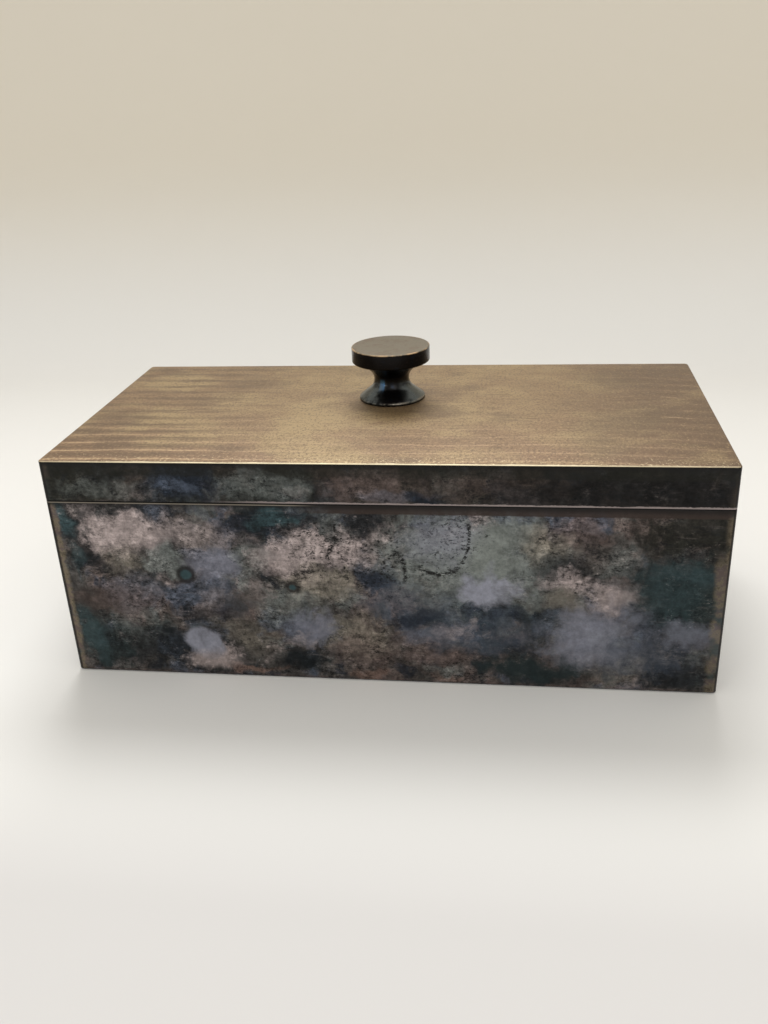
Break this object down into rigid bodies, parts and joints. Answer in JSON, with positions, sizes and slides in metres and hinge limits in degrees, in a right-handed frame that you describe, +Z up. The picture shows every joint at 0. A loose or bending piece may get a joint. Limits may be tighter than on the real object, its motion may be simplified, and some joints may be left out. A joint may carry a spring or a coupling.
{
  "type": "humidor",
  "caption": "Desk humidor: a patinated brass box lined with cedar, with a lift-off lid, a turned knob and a pull-out humidifier inside the lid.",
  "frame": {"origin": "middle of the box's footprint, on the surface that it stands on", "axes": "+X along the box's length to the right as seen from the front, -Y towards the front, +Z up"},
  "size_m": [0.228, 0.1124, 0.1033],
  "materials": {
    "patinated_brass": "dark mottled patina in grey-green, blue and copper, worn bright at the edges, satin",
    "worn_brass": "brushed and evenly aged to a warm olive tan, satin",
    "plain_brass": "plain, lightly brushed",
    "steel": "bright zinc plate",
    "cedar": "planed and left unfinished",
    "baize": "short green nap",
    "pad_felt": "pressed absorbent felt"
  },
  "bodies": {
    "case": {"case_wall_band": "patinated_brass", "base_plate": "plain_brass", "base_felt": "baize", "lining_floor": "cedar", "lining_front": "cedar", "lining_back": "cedar", "lining_left": "cedar", "lining_right": "cedar"},
    "lid": {"lid_skirt_band": "patinated_brass", "lid_top_plate": "worn_brass", "lid_lining_panel": "cedar", "lid_strip_front": "cedar", "lid_strip_back": "cedar", "lid_strip_left": "cedar", "lid_strip_right": "cedar", "knob": "patinated_brass", "knob_screw": "steel", "knob_washer": "steel", "clip_left": "plain_brass", "clip_right": "plain_brass", "clip_screws": "plain_brass"},
    "humidifier": {"humidifier_tray": "plain_brass", "humidifier_cover": "plain_brass", "humidifier_pad": "pad_felt"}
  },
  "joints": [
    {"name": "lid_lift", "type": "slide", "parent": "case", "child": "lid", "axis": [0, 0, 1], "range_m": [0, 0.09]},
    {"name": "humidifier_pull", "type": "slide", "parent": "lid", "child": "humidifier", "axis": [0, 0, -1], "range_m": [0, 0.025]}
  ]
}
